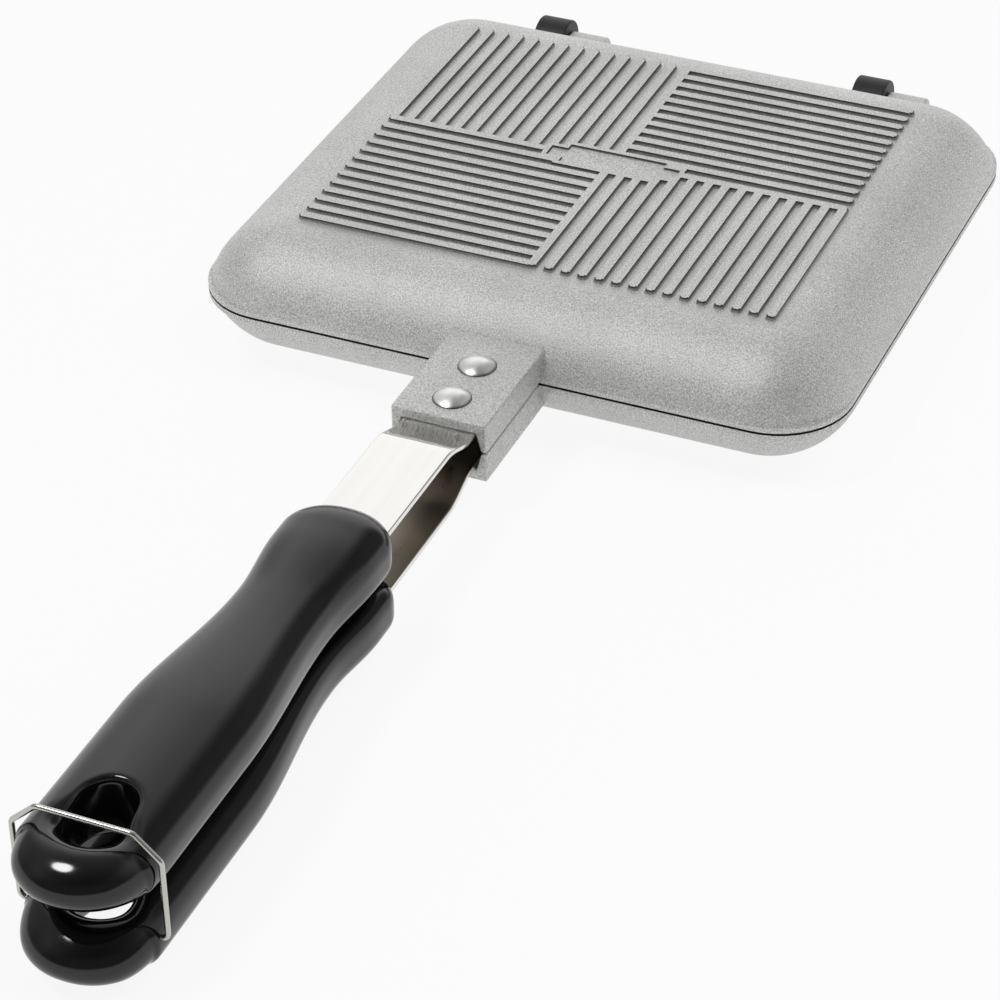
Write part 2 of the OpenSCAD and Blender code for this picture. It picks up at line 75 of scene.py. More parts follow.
# Lug, strap and rivets: the strap steps outwards over JOGGLE, from JOGGLE_AT before the mouth
MOUTH_Y = -PAN_D / 2 - 30.1
LUG_W, LUG_H, LUG_ROOF, LUG_ROOT, FLARE = 22.8, 7.4, 2.6, 4.5, 1.2
LUG_FOOT, LUG_EDGE = 0.5, 0.4
STRAP_W, STRAP_T, STRAP_RISE, STRAP_EDGE = 17.4, 1.5, 8.1, 0.4
JOGGLE_AT, JOGGLE, END_GAP = 1.0, 13.0, 1.0
TANG_AT, TANG_END, TANG_W = 12.0, 46.0, 12.0
SLOT_CLEARANCE = 0.2
SLOT_HALF = STRAP_W / 2 + SLOT_CLEARANCE
RIVETS_Y = (MOUTH_Y + 7.6, MOUTH_Y + 21.4)
RIVET_HEAD, RIVET_RISE, RIVET_RIM, RIVET_SHANK = 9.0, 1.7, 0.3, 4.0
TAIL_R, TAIL_H, TAIL_EDGE = 3.3, 1.2, 0.3
SLOT_BACK = MOUTH_Y + 27.9

# Hinge: the eyes and tabs lie side by side, HINGE_GAP apart, and each pin's bore is drawn only
# BORE_DEPTH deep, because the pin fills it
HINGE_Y = PAN_D / 2 + 8.3
EYE_R, EYE_W, TAB_R, TAB_W = 6.2, 8.4, 3.4, 10.0
HINGE_OFFSET, HINGE_GAP, PIN_R, PIN_CLEARANCE = 43.7, 0.3, 1.8, 0.06
KNUCKLE_EDGE, BORE_EDGE, BORE_DEPTH = 0.5, 0.2, 1.5

# Grips: sizes at the bulge, the waist and the body, how far from the nose each is reached, and the
# power of the section's superellipse
NOSE_Y = MOUTH_Y - 42.5
GRIP_L, GRIP_Z = 129.7, 1.6
END_Y = NOSE_Y - GRIP_L
HALF_W = dict(bulge=12.4, waist=10.8, body=14.6)
HEIGHT = dict(bulge=13.2, waist=12.4, body=14.4)
BULGE_AT, WAIST_AT, BODY_AT, NOSE_L, RING_ROUND = 14.0, 34.0, 78.0, 10.0, 13.0
HOLE_L, HOLE_W, RING_BAR = 16.0, 12.0, 12.4
HOLE_Y = END_Y + RING_BAR + HOLE_L / 2
LIP_NOSE, LIP_END, LIP_BEFORE, LIP_AFTER = 1.4, 7.5, 12.0, 1.0
OUTER_POWER, MATING_POWER = 2.25, dict(nose=5.0, body=3.2, ring=2.1)
SCREWS_Y = (NOSE_Y - 22, NOSE_Y - 37)
SCREW_HEAD, SCREW_LIP, HEAD_TOP = 6.8, 0.5, GRIP_Z + 2.3

# Ring end of a grip: it is lifted off the other one, and its sides step in where the wire lies
PIVOT_INSET, STEP_IN, STEP_RUN = 14.0, 0.5, 1.2
STEP_FROM, STEP_OVER = 9.5, 4.5
RING_AT = GRIP_L - PIVOT_INSET + STEP_RUN
RING_LIFT, ROUND_BEFORE, ROUND_END = 0.8, 8.0, 6.0

# Wire bail: how far its pivot lies inside the lower grip, and how far the legs and the bar stay
# off the grips
WIRE_R, WIRE_BEND, FOOT_L = 0.6, 1.6, 4.0
PIVOT_DROP, LEG_GAP, BAR_GAP = 5.2, 0.6, 0.7
PIVOT_Y, PIVOT_Z = END_Y + PIVOT_INSET, -GRIP_Z - PIVOT_DROP
LEG_X = HALF_W["body"] + LEG_GAP + WIRE_R
BAR_Z = GRIP_Z + HEIGHT["body"] + BAR_GAP + WIRE_R
BAR_HALF, SLANT = 10.2, 5.2


# ---- Meshes ----------------------------------------------------------------------

def grid(rows, columns, wrap=False):
    """Quads of a rows x columns lattice of points numbered row by row. With wrap, the last
    column joins the first. A quad's normal is along-rows x along-columns."""
    across = columns if wrap else columns - 1
    i, j = np.meshgrid(np.arange(rows - 1), np.arange(across), indexing="ij")
    here, ahead, k = i * columns, (i + 1) * columns, (j + 1) % columns
    return np.stack([here + j, ahead + j, ahead + k, here + k], axis=-1).reshape(-1, 4)


def capped(sections):
    """Closed shell over an array of section loops (sections, points, 3), capped at both ends."""
    rows, count = sections.shape[:2]
    faces = grid(rows, count, wrap=True).tolist()
    faces.append(list(range(count)))
    faces.append(list(range(rows * count - 1, (rows - 1) * count - 1, -1)))
    return sections.reshape(-1, 3), faces


def flipped(shell):
    """The shell mirrored in the parting plane, with its faces turned to point outwards again."""
    points, faces, finish = shell
    return points * (1, 1, -1), [list(face)[::-1] for face in faces], finish


def piece(name, shells, materials, body, stands_for, bevel=0.0, smooth=0.6):
    """One object of several closed shells, each (points, faces, material number or one per face),
    given in mm above the parting plane. Points of a shell that coincide are merged. Edges that
    turn by more than smooth, in radians, stay sharp, and are eased by bevel mm where it is set."""
    whole = bmesh.new()
    for points, faces, finish in shells:
        start = len(whole.verts)
        mesh = bpy.data.meshes.new(name)
        mesh.from_pydata(((points + (0, 0, PARTING)) * MM).tolist(), [], [list(f) for f in faces])
        numbers = np.broadcast_to(finish, len(faces)).astype(np.int32)
        mesh.polygons.foreach_set("material_index", numbers)
        whole.from_mesh(mesh)
        whole.verts.ensure_lookup_table()
        bmesh.ops.remove_doubles(whole, verts=whole.verts[start:], dist=2e-6)
        bpy.data.meshes.remove(mesh)
    mesh = bpy.data.meshes.new(name)
    whole.to_mesh(mesh)
    whole.free()
    mesh.polygons.foreach_set("use_smooth", np.ones(len(mesh.polygons), bool))
    mesh.set_sharp_from_angle(angle=smooth)
    for one in materials:
        mesh.materials.append(one)
    made = bpy.data.objects.new(name, mesh)
    bpy.context.scene.collection.objects.link(made)
    if bevel:
        edge = made.modifiers.new("eased_edges", "BEVEL")
        edge.width, edge.segments = bevel * MM, 3
        edge.limit_method, edge.angle_limit = "ANGLE", smooth
    even = made.modifiers.new("even_shading", "WEIGHTED_NORMAL")
    even.keep_sharp = True
    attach(made, body)
    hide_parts(*stands_for)
    return made


def smooth_step(t):
    """3 t^2 - 2 t^3 with t held between 0 and 1."""
    t = np.clip(t, 0, 1)
    return t * t * (3 - 2 * t)


def ease(a, b, s, start, end):
    """From a to b along a half cosine wave between the stations start and end."""
    t = np.clip((s - start) / (end - start), 0, 1)
    return a + (b - a) * (1 - np.cos(np.pi * t)) / 2


# ---- Pans ------------------------------------------------------------------------

def rib_height(x, y):
    """Height of the cast pattern over the flat: a rib is a smooth step of RIB_H across the edge of
    a round-ended bar, and the plaque is a step down inside a border at rib height."""
    v = y - RIB_SHIFT

    def from_bars(along, across, count, reach):
        nearest = np.clip(np.round(across / PITCH), 0, count) * PITCH
        return np.hypot(np.maximum(np.maximum(-along, along - reach), 0), across - nearest)

    far_x, far_y = SIDE_RIBS * PITCH, END_RIBS * PITCH
    distance = np.minimum.reduce([
        from_bars(x, v, END_RIBS, far_x), from_bars(-x, -v, END_RIBS, far_x),
        from_bars(v, -x, SIDE_RIBS, far_y), from_bars(-v, x, SIDE_RIBS, far_y)])

    def in_plaque(grow):
        across, along = np.abs(x) - grow, np.abs(y - PLAQUE_SHIFT) - grow
        return np.maximum(np.minimum(PLAQUE_W / 2 - across, PLAQUE_D / 2 - along),
                          np.minimum(EAR_W / 2 - across, EAR_D / 2 - along))

    raised = np.maximum(RIB_W / 2 - distance, in_plaque(BORDER))
    step = lambda edge: smooth_step((edge + SOFT) / (2 * SOFT))
    return RIB_H * step(raised) - SINK * step(in_plaque(0))


def pattern_lines(count, centre, plaque_edges, limit):
    """Lattice lines along one axis: one at the foot and one at the crest of each side of every
    rib, two inside the rib and four over its round end, one at the foot and crest of each edge of
    the plaque, and the corner centres, limit away, as the outermost."""
    half = RIB_W / 2
    sides = np.array([half - SOFT, half + SOFT, 0.55 * half])
    across = np.concatenate([-sides, sides])
    ribs = centre + np.arange(-count, count + 1)[:, None] * PITCH + across
    ends = count * PITCH + half * np.array([0.25, 0.42, 0.7, 0.82])
    plaque = (np.array(plaque_edges)[:, None] + (-SOFT, SOFT)).ravel()
    lines = np.sort(np.concatenate([ribs.ravel(), centre + ends, centre - ends, plaque]))
    lines = lines[np.abs(lines) < limit - LATTICE_MARGIN]
    lines = lines[np.concatenate([[True], np.diff(lines) > LATTICE_GAP])]
    return np.concatenate([[-limit], lines, [limit]])


def pan_shell():
    """Casting above the parting plane: a lattice over the flat, then closed rings round it. A ring
    is base + t * direction, where base runs round the rectangle of the corner centres. t grows
    along the shoulder's arc, passes the rim, and shrinks again over the land and up the cavity."""
    half_plaque = [EAR_W / 2, PLAQUE_W / 2, EAR_W / 2 + BORDER, PLAQUE_W / 2 + BORDER]
    half_deep = [EAR_D / 2, PLAQUE_D / 2, EAR_D / 2 + BORDER, PLAQUE_D / 2 + BORDER]
    xs = pattern_lines(SIDE_RIBS, 0, [side * h for h in half_plaque for side in (-1, 1)], CORNER_X)
    ys = pattern_lines(END_RIBS, RIB_SHIFT,
                       [PLAQUE_SHIFT + side * h for h in half_deep for side in (-1, 1)], CORNER_Y)

    x, y = np.meshgrid(xs, ys, indexing="ij")
    flat = np.stack([x, y, PAN_H + rib_height(x, y)], axis=-1).reshape(-1, 3)
    flat_faces = grid(len(xs), len(ys))

    turn = np.radians(np.linspace(0, 90, 13))[1:-1]
    arc = np.stack([np.cos(turn), np.sin(turn)], axis=-1)
    base, way = [], []
    sides = [(np.stack([np.full(len(ys), CORNER_X), ys], -1), (1, 0)),
             (np.stack([xs[::-1], np.full(len(xs), CORNER_Y)], -1), (0, 1)),
             (np.stack([np.full(len(ys), -CORNER_X), ys[::-1]], -1), (-1, 0)),
             (np.stack([xs, np.full(len(xs), -CORNER_Y)], -1), (0, -1))]
    for number, (line, normal) in enumerate(sides):
        base += [line, np.repeat(line[-1:], len(arc), axis=0)]
        spin = np.linalg.matrix_power(np.array([[0, -1], [1, 0]]), number)
        way += [np.tile(normal, (len(line), 1)), arc @ spin.T]
    base, way = np.concatenate(base), np.concatenate(way).astype(float)

    def reach(a, corner):
        """Distance from the corner centre to an outline whose sides are a away and whose corners
        have the given radius: the ray meets the corner's arc, or else the straight side."""
        q, d = a - corner, np.abs(way)
        along = q * d.sum(1)
        t = along + np.sqrt(np.maximum(along ** 2 - 2 * q * q + corner ** 2, 0))
        on_arc = (t[:, None] * d >= q - 1e-9).all(1)
        return np.where(on_arc, t, a / d.max(1))

    rings, heights = [], []

    def ring(t, z):
        rings.append(np.broadcast_to(t, len(way)))
        heights.append(z)

    # Over the ribs' round ends, down the shoulder's arc, over the ledge and down the band
    shell_h = PAN_H - LAND_Z
    arc_r = (RUN ** 2 + (shell_h - BAND) ** 2) / (2 * (shell_h - BAND))
    over_ends = [0, 0.15, 0.3, 0.5, 0.7, 0.9, 1.1, 1.4, 1.9]
    along_arc = arc_r * np.sin(np.linspace(0.12, np.arcsin(RUN / arc_r), 16))
    outer = np.concatenate([over_ends, DOME - RUN + along_arc])
    for a in outer:
        ring(a, PAN_H - arc_r + np.sqrt(arc_r ** 2 - max(a - (DOME - RUN), 0) ** 2))
    rim = reach(DOME, RIM_CORNER)
    for share, z in ((0.8, BAND), (0.95, BAND - 0.06), (1.0, BAND - 0.2), (1.0, 0.5)):
        ring(DOME + share * (rim - DOME), LAND_Z + z)
    ring(reach(DOME - 0.05, RIM_CORNER - 0.05), LAND_Z + 0.1)
    paint_rings = len(rings)
    ring(reach(DOME - 0.25, RIM_CORNER - 0.25), LAND_Z)
    ring(reach(DOME - LAND + 0.3, DOME - LAND - 0.2), LAND_Z)

    # Up the cavity, on an arc like the shoulder's, to its flat floor
    run_in, high_in = RUN - LAND, shell_h - WALL
    arc_in = (run_in ** 2 + high_in ** 2) / (2 * high_in)
    edge_in = DOME - RUN
    for angle in np.linspace(np.arcsin(min(run_in / arc_in, 1)), 0, 12):
        ring(edge_in + arc_in * np.sin(angle), LAND_Z + high_in - arc_in + arc_in * np.cos(angle))

    t = np.stack(rings)
    plan = base + t[:, :, None] * way
    z = np.repeat(np.array(heights)[:, None], len(way), axis=1)
    top = len(outer)
    z[:top] += rib_height(plan[:top, :, 0], plan[:top, :, 1])
    loops = np.concatenate([plan, z[:, :, None]], axis=-1)
    count = len(way)
    loop_faces = grid(len(rings), count, wrap=True) + len(flat)
    last = len(flat) + (len(rings) - 1) * count
    cavity_floor = list(range(last + count - 1, last - 1, -1))
    faces = flat_faces.tolist() + loop_faces.tolist() + [cavity_floor]
    finish = np.zeros(len(faces), int)
    finish[len(flat_faces) + (paint_rings - 1) * count:] = 1
    return np.concatenate([flat, loops.reshape(-1, 3)]), faces, finish


def lug_shell():
    """Lug as a section carried along y: an upside-down U that is flared at the parting plane. Its
    channel closes to nothing behind the strap's end, and its foot rises into the pan's wall."""
    outer = LUG_W / 2
    channel = np.array([[SLOT_HALF + FLARE, LAND_Z], [SLOT_HALF, LUG_H - LUG_ROOF],
                        [-SLOT_HALF, LUG_H - LUG_ROOF], [-SLOT_HALF - FLARE, LAND_Z]])
    closed = channel * (1, 0) + (0, LAND_Z)
    outside = np.array([[-outer, LAND_Z], [-outer, LUG_H], [outer, LUG_H], [outer, LAND_Z]])
    stations = [(MOUTH_Y, channel, 0), (SLOT_BACK, channel, 0), (SLOT_BACK, closed, 0),
                (-PAN_D / 2 - 0.02, closed, 0), (-PAN_D / 2 + LUG_ROOT, closed, LUG_FOOT)]
    sections = np.array([[[x, y, max(z, LAND_Z + rise)]
                          for x, z in np.concatenate([outside, inside])]
                         for y, inside, rise in stations])
    points, faces = capped(sections[:, ::-1])
    return points, faces, 0


def knuckle_shell(x0, x1, radius, low, high, bore, finish):
    """Hinge eye or tab as rings about the pin's axis. Its outline in y and z is the pan-side block
    between low and high, with a round end of the given radius; the rings go from the bore over the
    left face, the eased edge, the outline and the right face, back into the bore."""
    is_eye = low < -LAND_Z
    root = PAN_D / 2 - BAND - HINGE_Y
    start = -90 if is_eye else -180
    angles = np.radians(np.linspace(start, start + 270, 55))
    circle = radius * np.stack([np.cos(angles), np.sin(angles)], -1)
    seat = [[root, high], [root, (low + high) / 2], [root, low]]
    if is_eye:
        block = [[-radius, high], *seat, [root / 2, low]]
    else:
        block = [[root / 2, high], *seat, [-radius, low]]
    outline = np.concatenate([circle, block])
    way = outline / np.linalg.norm(outline, axis=1)[:, None]
    mouth = bore + BORE_EDGE if bore else bore
    rows = [(bore * way, x0 + BORE_DEPTH), (bore * way, x0 + BORE_EDGE), (mouth * way, x0)]
    for face, inwards, degrees in ((x0, 1, (0, 30, 60, 90)), (x1, -1, (90, 60, 30, 0))):
        for angle in np.radians(degrees):
            rows.append((outline - KNUCKLE_EDGE * (1 - np.sin(angle)) * way,
                         face + inwards * KNUCKLE_EDGE * (1 - np.cos(angle))))
    rows += [(bore * way, x1), (bore * way, x1 - BORE_DEPTH)]
    points = np.stack([np.concatenate([np.full((len(way), 1), x), yz + (HINGE_Y, 0)], axis=1)
                       for yz, x in rows])
    faces = grid(len(rows), len(way), wrap=True)[:, ::-1]
    return points.reshape(-1, 3), faces.tolist(), finish


# ---- Straps, rivets and wire ------------------------------------------------------

def bar_section(half_w, thickness, corner):
    """Loop of a flat bar with round edges, anticlockwise in x and z, its top face at z = 0."""
    turn = np.radians(np.linspace(0, 90, 5))
    arc = corner * np.stack([np.cos(turn), np.sin(turn)], -1)
    low, high = corner - thickness, -corner
    corners = [((half_w - corner, high), arc), ((corner - half_w, high), arc[::-1] * (-1, 1)),
               ((corner - half_w, low), -arc), ((half_w - corner, low), arc[::-1] * (1, -1))]
    return np.concatenate([centre + curve for centre, curve in corners])


def strap_shell():
    """Strap as a flat bar carried along y. Its top follows a half cosine from the lug's roof up to
    the grip, and it is narrower from the shoulder inside the grip. The face towards the other
    half, what looks mostly along z on that side, gets the rolled finish with a painted reflection
    of shade."""
    roof = LUG_H - LUG_ROOF
    bend = MOUTH_Y - JOGGLE_AT - np.linspace(0, JOGGLE, 25)
    shoulder = NOSE_Y - TANG_AT
    ys = np.concatenate([[SLOT_BACK - END_GAP], bend,
                         [NOSE_Y, shoulder, shoulder, NOSE_Y - TANG_END]])
    widths = np.where(np.arange(len(ys)) < len(ys) - 2, STRAP_W / 2, TANG_W / 2)
    tops = ease(roof, STRAP_RISE, MOUTH_Y - ys, JOGGLE_AT, JOGGLE_AT + JOGGLE)
    sections = []
    for y, half_w, top in zip(ys, widths, tops):
        loop = bar_section(half_w, STRAP_T, STRAP_EDGE)
        sections.append(np.stack([loop[:, 0], np.full(len(loop), y), top + loop[:, 1]], -1))
    points, faces = capped(np.array(sections))
    quads = np.array(faces[:-2])
    diagonals = [points[quads[:, k + 2]] - points[quads[:, k]] for k in (0, 1)]
    looks = np.cross(*diagonals)
    inner = looks[:, 2] > 0.7 * np.linalg.norm(looks, axis=1)
    return points, faces, np.concatenate([inner, [False, False]]).astype(int)


def turned(profile, centre, steps=48):
    """Profile of radius and height turned about a vertical axis at centre (x, y)."""
    turn = np.radians(np.arange(steps) * 360 / steps)
    radius, height = np.array(profile, float).T
    points = np.stack([centre[0] + radius[:, None] * np.cos(turn),
                       centre[1] + radius[:, None] * np.sin(turn),
                       np.repeat(height[:, None], steps, axis=1)], -1)
    return points.reshape(-1, 3), grid(len(radius), steps, wrap=True).tolist(), 0


def rivet_shell(y):
    """Domed rivet: a spherical cap with an eased rim, a shank, and a set end under the strap."""
    half = RIVET_HEAD / 2
    dome = (half ** 2 + RIVET_RISE ** 2) / (2 * RIVET_RISE)
    angles = np.linspace(0, np.arcsin((half - RIVET_RIM) / dome), 14)
    cap = [(dome * np.sin(a), LUG_H + RIVET_RISE - dome * (1 - np.cos(a))) for a in angles]
    rim = cap[-1][1]
    tail = LUG_H - LUG_ROOF - STRAP_T
    end = tail - TAIL_H
    rest = [(half - 0.06, rim - 0.16), (half, rim - RIVET_RIM), (half - 0.25, LUG_H),
            (RIVET_SHANK / 2, LUG_H), (RIVET_SHANK / 2, tail), (TAIL_R, tail),
            (TAIL_R, end + TAIL_EDGE), (TAIL_R - TAIL_EDGE, end), (0, end)]
    return turned(cap + rest, (0, y))


def wire_shell():
    """Wire as a round section carried along a line in x and z: foot, leg, slanted shoulder and top
    bar, with a round bend at each corner."""
    corners = np.array([[LEG_X - FOOT_L - WIRE_BEND, PIVOT_Z], [LEG_X, PIVOT_Z],
                        [LEG_X, BAR_Z - SLANT], [BAR_HALF, BAR_Z], [0, BAR_Z]])
    line = [corners[:1]]
    for before, here, after in zip(corners, corners[1:], corners[2:]):
        into, out = here - before, after - here
        into, out = into / np.linalg.norm(into), out / np.linalg.norm(out)
        turn = np.arccos(into @ out)
        left = np.array([-into[1], into[0]])
        centre = here - into * WIRE_BEND * np.tan(turn / 2) + left * WIRE_BEND
        angles = np.linspace(0, turn, 9)[:, None]
        line.append(centre + WIRE_BEND * (into * np.sin(angles) - left * np.cos(angles)))
    half = np.concatenate(line)
    path = np.concatenate([half, half[::-1] * (-1, 1)])
    ahead = np.gradient(path, axis=0)
    ahead /= np.linalg.norm(ahead, axis=1)[:, None]
    across = np.stack([-ahead[:, 1], ahead[:, 0]], -1)
    turn = np.radians(np.arange(16) * 22.5)
    points = np.stack([path[:, None, 0] + WIRE_R * np.cos(turn) * across[:, None, 0],
                       PIVOT_Y + WIRE_R * np.sin(turn) * np.ones((len(path), 1)),
                       path[:, None, 1] + WIRE_R * np.cos(turn) * across[:, None, 1]], -1)
    points, faces = capped(points)
    return points, [face[::-1] for face in faces], 0


# ---- Grips -----------------------------------------------------------------------

def grip_level(x, y, z):
    """Below zero inside the grip. Its section at station s is a superellipse whose mating side is
    nearly square at the nose and goes round at the ring. With rho its size there and u how far s
    is into a rounded end, the body is rho^2 + u^2 < 1. The hang hole and the screw bores are taken
    out with rounded edges, by a smooth maximum. The hole's edge is crisp towards the nose and as
    round as a bar at the end."""
    s = NOSE_Y - y
    first = s < WAIST_AT

    def profile(size):
        return np.where(first, ease(size["bulge"], size["waist"], s, BULGE_AT, WAIST_AT),
                        ease(size["waist"], size["body"], s, WAIST_AT, BODY_AT))

    into_step = smooth_step((s - RING_AT) / STEP_RUN)
    step = STEP_IN * into_step * smooth_step((np.abs(x) - STEP_FROM) / STEP_OVER)
    lift = ease(0, RING_LIFT, s, RING_AT, GRIP_L)
    half_w, half_h = profile(HALF_W) - step, (profile(HEIGHT) - step - lift) / 2
    side, rise = np.abs(x) / half_w, (z - GRIP_Z - lift - half_h) / half_h
    squareness = ease(MATING_POWER["nose"], MATING_POWER["body"], s, WAIST_AT, BODY_AT)
    rounding = ease(0, MATING_POWER["body"] - MATING_POWER["ring"], s,
                    RING_AT - ROUND_BEFORE, GRIP_L - ROUND_END)
    power = np.where(rise < 0, squareness - rounding, OUTER_POWER)
    rho = (side ** power + np.abs(rise) ** power + 1e-9) ** (1 / power)
    upright = rise ** 2 / (side ** 2 + rise ** 2 + 1e-6)
    round_l = HALF_W["body"] - (HALF_W["body"] - RING_ROUND) * upright
    u = np.maximum((NOSE_L - s) / NOSE_L, (s - GRIP_L + round_l) / round_l)
    body = (np.sqrt(rho ** 2 + np.maximum(u, 0) ** 2) - 1) * half_h
    past_straight = np.maximum(np.abs(y - HOLE_Y) - (HOLE_L - HOLE_W) / 2, 0)
    hole = HOLE_W / 2 - np.hypot(x, past_straight)
    past_hole = HOLE_Y - HOLE_L / 2 - y
    level = smooth_max(body, hole, ease(LIP_NOSE, LIP_END, past_hole, -LIP_BEFORE, LIP_AFTER))
    for screw_y in SCREWS_Y:
        bore = np.minimum(SCREW_HEAD / 2 - np.hypot(x, y - screw_y), HEAD_TOP - z)
        level = smooth_max(level, bore, SCREW_LIP)
    return level


def smooth_max(a, b, k):
    """Maximum of a and b with the corner between them rounded over the width k: max(a, b) plus
    k h^2 / 4, where h = 1 - |a - b| / k and not below zero."""
    h = np.maximum(k - np.abs(a - b), 0) / k
    return np.maximum(a, b) + h * h * k / 4


def level_surface(level, low, high, step, rounds=8):
    """Zero level of a function of x, y and z: one point in each lattice cell that it crosses and
    one quad round each lattice edge whose ends differ in sign. The points are then drawn to the
    middle of their neighbours and moved along the gradient back on to the level, in rounds."""
    axes = [np.arange(a, b + step, step) for a, b in zip(low, high)]
    inside = level(*np.meshgrid(*axes, indexing="ij")) < 0
    corners = sum(inside[i:i - 1 or None, j:j - 1 or None, k:k - 1 or None].astype(int)
                  for i in (0, 1) for j in (0, 1) for k in (0, 1))
    cells = (corners > 0) & (corners < 8)
    number = np.full(cells.shape, -1)
    number[cells] = np.arange(cells.sum())
    crossed = zip(axes, np.nonzero(cells))
    points = np.stack([axis[index] + step / 2 for axis, index in crossed], -1)
    faces = []
    for axis in range(3):
        order = [axis, (axis + 1) % 3, (axis + 2) % 3]
        signs, cell = inside.transpose(order), number.transpose(order)
        near, far = signs[:-1, 1:-1, 1:-1], signs[1:, 1:-1, 1:-1]
        i, j, k = np.nonzero(near != far)
        quad = np.stack([cell[i, j, k], cell[i, j + 1, k],
                         cell[i, j + 1, k + 1], cell[i, j, k + 1]], -1)
        faces.append(np.where(near[i, j, k][:, None], quad, quad[:, ::-1]))
    faces = np.concatenate(faces)
    starts, ends = faces.ravel(), np.roll(faces, -1, axis=1).ravel()
    count = np.bincount(starts, minlength=len(points))[:, None]
    small, flattest = 1e-3, 1e-4
    for _ in range(rounds):
        middle = np.stack([np.bincount(starts, points[ends, c], minlength=len(points))
                           for c in range(3)], -1)
        points = (points + middle / count) / 2
        for _ in range(2):
            here = level(*points.T)
            ahead = [level(*(points + small * way).T) - here for way in np.eye(3)]
            slope = np.stack(ahead, -1) / small
            points = points - slope * (here / np.maximum((slope ** 2).sum(1), flattest))[:, None]
    return points, faces.tolist(), 0


# ---- Materials -------------------------------------------------------------------

# A Mix node on colours takes its two colours at sockets 6 and 7 and gives the result at output 2
COLOUR_A, COLOUR_B, COLOUR = 6, 7, 2


def linear(code):
    """Linear colour of an sRGB hex value."""
    c = np.array([int(code[i:i + 2], 16) for i in (1, 3, 5)]) / 255
    return (*np.where(c <= 0.04045, c / 12.92, ((c + 0.055) / 1.055) ** 2.4), 1.0)


def node(tree, kind, values=None, feeds=None, **settings):
    """Adds a node with its settings, the values of its sockets and the outputs that feed them."""
    made = tree.nodes.new("ShaderNode" + kind)
    for key, value in settings.items():
        setattr(made, key, value)
    for key, value in (values or {}).items():
        made.inputs[key].default_value = value
    for key, socket in (feeds or {}).items():
        tree.links.new(socket, made.inputs[key])
    return made


def surface(name, values):
    """A material with a Principled shader, and the place on the object that its patterns read."""
    made = bpy.data.materials.new(name)
    made.use_nodes = True
    tree = made.node_tree
    tree.nodes.clear()
    shader = node(tree, "BsdfPrincipled", values)
    node(tree, "OutputMaterial", feeds={"Surface": shader.outputs[0]})
    return made, tree, shader, node(tree, "TexCoord").outputs["Object"]


def per_mm(size):
    """Scale of a noise whose features are about size millimetres."""
    return 1 / (size * MM)


def above_parting(tree, place):
    """Height above or below the parting plane, in metres."""
    height = node(tree, "SeparateXYZ", feeds={0: place})
    level = node(tree, "Math", {1: PARTING * MM}, {0: height.outputs["Z"]}, operation="SUBTRACT")
    return node(tree, "Math", {}, {0: level.outputs[0]}, operation="ABSOLUTE").outputs[0]


def silver_lacquer():
    """Silver heat-proof lacquer sprayed on cast aluminium: flake makes it sparkle where it mirrors
    a lamp, and the cast skin under it gives it a soft orange peel. Real flake is under 0.1 mm; it
    is drawn at 0.34 mm, so that it shows. The walls of the ribs and of the plaque's border, what
    is steep above the flat, get a painted shade that grows darker towards their crests."""
    made, tree, shader, place = surface("silver_lacquer", {"Metallic": 0.62})
    flake = node(tree, "TexNoise", {"Scale": per_mm(0.34), "Detail": 2.0, "Roughness": 0.65},
                 {"Vector": place})
    cloud = node(tree, "TexNoise", {"Scale": per_mm(28), "Detail": 3.0}, {"Vector": place})
    peel = node(tree, "TexNoise", {"Scale": per_mm(1.6), "Detail": 2.0}, {"Vector": place})
    tone = node(tree, "ValToRGB", feeds={0: flake.outputs[0]})
    dark, bright = tone.color_ramp.elements
    dark.position, dark.color = 0.35, linear("#ABABA9")
    bright.position, bright.color = 0.65, linear("#F6F6F4")
    amount = node(tree, "MapRange", {"From Min": 0.35, "From Max": 0.7,
                                     "To Min": 0.0, "To Max": 0.2}, {"Value": cloud.outputs[0]})
    shade = node(tree, "Mix", {COLOUR_B: linear("#9A9A97")},
                 {0: amount.outputs[0], COLOUR_A: tone.outputs[0]}, data_type="RGBA")

    # Painted shade on the walls of the ribs and the plaque's border: steep faces between the flat
    # and the rib tops are mixed towards dark grey, most near the crests
    level = above_parting(tree, place)
    foot = node(tree, "MapRange", {"From Min": (PAN_H + 0.02) * MM,
                                   "From Max": (PAN_H + 0.05) * MM}, {"Value": level})
    crest = node(tree, "MapRange", {"From Min": (PAN_H + 0.3) * MM,
                                    "From Max": (PAN_H + RIB_H - 0.2) * MM,
                                    "To Min": 0.42, "To Max": 0.95}, {"Value": level})
    facing = node(tree, "SeparateXYZ", feeds={0: node(tree, "TexCoord").outputs["Normal"]})
    upright = node(tree, "Math", {}, {0: facing.outputs["Z"]}, operation="ABSOLUTE")
    steep = node(tree, "MapRange", {"From Min": 0.92, "From Max": 0.6},
                 {"Value": upright.outputs[0]})
    wall = node(tree, "Math", {}, {0: foot.outputs[0], 1: steep.outputs[0]}, operation="MULTIPLY")
    painted_rib_wall_shade = node(tree, "Math", {}, {0: wall.outputs[0], 1: crest.outputs[0]}, operation="MULTIPLY")
    colour = node(tree, "Mix", {COLOUR_B: linear("#2E2D28")},
                  {0: painted_rib_wall_shade.outputs[0], COLOUR_A: shade.outputs[COLOUR]}, data_type="RGBA")

    rough = node(tree, "MapRange", {"From Min": 0.3, "From Max": 0.7,
                                    "To Min": 0.44, "To Max": 0.62}, {"Value": flake.outputs[0]})
    skin = node(tree, "Bump", {"Strength": 1.0, "Distance": 0.13 * MM},
                {"Height": flake.outputs[0]})
    wave = node(tree, "Bump", {"Strength": 0.25, "Distance": 0.05 * MM},
                {"Height": peel.outputs[0], "Normal": skin.outputs[0]})
    tree.links.new(colour.outputs[COLOUR], shader.inputs["Base Color"])
    tree.links.new(rough.outputs[0], shader.inputs["Roughness"])
    tree.links.new(wave.outputs[0], shader.inputs["Normal"])
    return made


